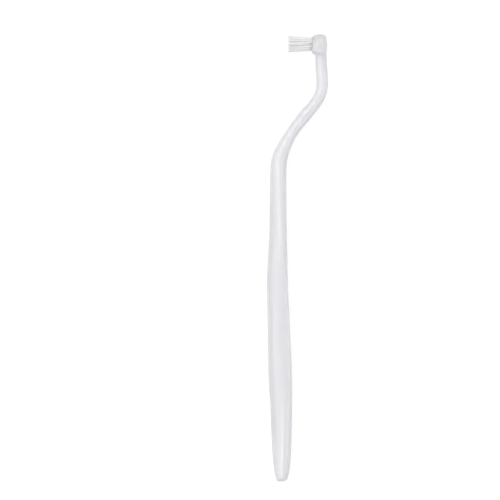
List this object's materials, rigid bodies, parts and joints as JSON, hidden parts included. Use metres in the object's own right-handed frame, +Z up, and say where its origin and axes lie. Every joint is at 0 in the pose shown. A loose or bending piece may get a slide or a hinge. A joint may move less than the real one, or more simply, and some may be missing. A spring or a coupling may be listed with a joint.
{
  "type": "orthodontic toothbrush",
  "caption": "Slim orthodontic toothbrush with a set-back S-shaped neck, a round head and a flat-trimmed round bundle of bristles, for cleaning around braces and single teeth.",
  "frame": {"origin": "middle of the brush's outside length and depth, on the plane of its lower side flat", "axes": "+Y runs from the butt of the handle to the head, the bristles point along -X, +X is the back (thumb side), and +Z is up out of the upper side flat"},
  "size_m": [0.023, 0.168, 0.0098],
  "materials": {
    "handle_plastic": "glossy milky translucent moulded polypropylene",
    "bristle_nylon": "fine white nylon filaments with a satin sheen",
    "anchor_metal": "plain drawn nickel silver"
  },
  "bodies": {
    "root": {"handle": "handle_plastic", "bristle_tuft": "bristle_nylon", "anchor_plate": "anchor_metal"}
  },
  "joints": []
}
